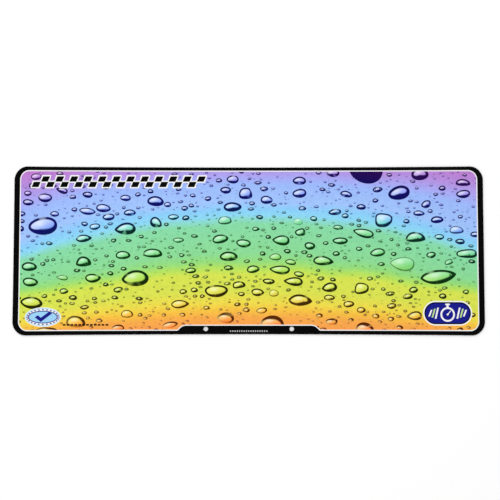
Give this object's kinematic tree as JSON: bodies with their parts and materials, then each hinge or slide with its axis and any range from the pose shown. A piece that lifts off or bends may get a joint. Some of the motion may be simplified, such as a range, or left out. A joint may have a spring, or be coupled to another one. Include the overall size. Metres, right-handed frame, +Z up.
{
  "type": "cup stacking timing mat",
  "caption": "Flat rounded-corner table mat of printed cloth on sponge rubber with a grip underside, pierced near one long edge for the pegs of a clip-on timer.",
  "frame": {"origin": "middle of the underside, on the table", "axes": "+X along the mat's length, +Y across it away from the player, so the timer's holes are at the -Y edge, +Z up"},
  "size_m": [0.73, 0.26, 0.0032],
  "materials": {
    "printed_cloth": "smooth knitted polyester, dyed in a rainbow of raindrops inside a black border",
    "adhesive": "hot-melt film",
    "sponge_rubber": "die-cut fine-celled sponge",
    "grip_rubber": "matt, embossed"
  },
  "bodies": {
    "root": {"grip_sheet": "grip_rubber", "base_adhesive_film": "adhesive", "sponge_core": "sponge_rubber", "face_adhesive_film": "adhesive", "face_cloth": "printed_cloth"}
  },
  "joints": []
}
